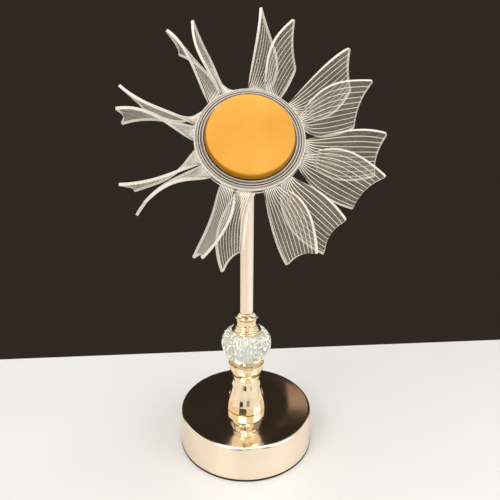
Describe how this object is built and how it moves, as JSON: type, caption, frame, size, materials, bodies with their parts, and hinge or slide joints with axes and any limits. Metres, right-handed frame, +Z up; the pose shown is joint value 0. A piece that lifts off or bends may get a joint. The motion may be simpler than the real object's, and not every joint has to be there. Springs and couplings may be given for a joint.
{
  "type": "monstrance",
  "caption": "Table ornament of monstrance form: a drum foot, faceted baluster, cut-crystal knop and tube stem carry a tilting gold disc ringed by twisted clear petals",
  "frame": {"origin": "centre of the foot pad's underside, on the stem's axis, on the surface that the ornament stands on", "axes": "+Z up along the stem, -Y the way the gold disc faces, +X to the right as seen from the front"},
  "size_m": [0.1924, 0.1661, 0.3796],
  "materials": {
    "champagne_gold": "polished, plated in pale champagne gold",
    "yellow_gold": "polished yellow gold",
    "satin_gold": "satin orange gold",
    "clear_acrylic": "clear sheet with engraved flow lines and frosted edges",
    "crystal": "cut and polished crystal",
    "steel": "zinc plated",
    "cast_iron": "raw casting",
    "black_felt": "pressed felt",
    "green_board": "solder-masked circuit board",
    "white_plastic": "moulded",
    "grey_plastic": "moulded",
    "blue_wrap": "shrink wrap"
  },
  "bodies": {
    "foot": {"foot_pad": "black_felt", "base_plate": "steel", "ballast_ring": "cast_iron", "drum_shell": "champagne_gold", "battery_pack": "blue_wrap", "board_carrier": "white_plastic", "control_board": "green_board", "button_switch": "white_plastic", "charge_socket": "steel", "threaded_pipe": "steel", "pipe_washer": "steel", "pipe_nut": "steel", "faceted_baluster": "yellow_gold", "crystal_cup": "yellow_gold", "crystal_knop": "crystal", "turned_collar": "yellow_gold", "stem_tube": "champagne_gold", "stem_fork": "champagne_gold", "pivot_pin": "yellow_gold", "pivot_nut": "yellow_gold"},
    "head": {"tilt_tongue": "champagne_gold", "back_cover": "yellow_gold", "petal_hub": "grey_plastic", "rear_ring": "clear_acrylic", "front_ring": "clear_acrylic", "gold_disc": "satin_gold", "light_board": "green_board", "light_strip": "white_plastic", "ring_screw_1": "steel", "ring_screw_2": "steel", "ring_screw_3": "steel", "ring_screw_4": "steel", "petal_1a": "clear_acrylic", "petal_1b": "clear_acrylic", "petal_2a": "clear_acrylic", "petal_2b": "clear_acrylic", "petal_3a": "clear_acrylic", "petal_3b": "clear_acrylic", "petal_4a": "clear_acrylic", "petal_4b": "clear_acrylic", "petal_5a": "clear_acrylic", "petal_5b": "clear_acrylic", "petal_6a": "clear_acrylic", "petal_6b": "clear_acrylic", "petal_7a": "clear_acrylic", "petal_7b": "clear_acrylic", "petal_8a": "clear_acrylic", "petal_8b": "clear_acrylic"},
    "button": {"power_button": "champagne_gold"}
  },
  "joints": [
    {"name": "head_tilt", "type": "hinge", "parent": "foot", "child": "head", "pos_m": [0, 0, 0.27], "axis": [-1, 0, 0], "range_deg": [-39, 46]},
    {"name": "button_press", "type": "slide", "parent": "foot", "child": "button", "axis": [0, -1, 0], "range_m": [0, 0.0012], "stiffness_N_per_m": 400}
  ]
}
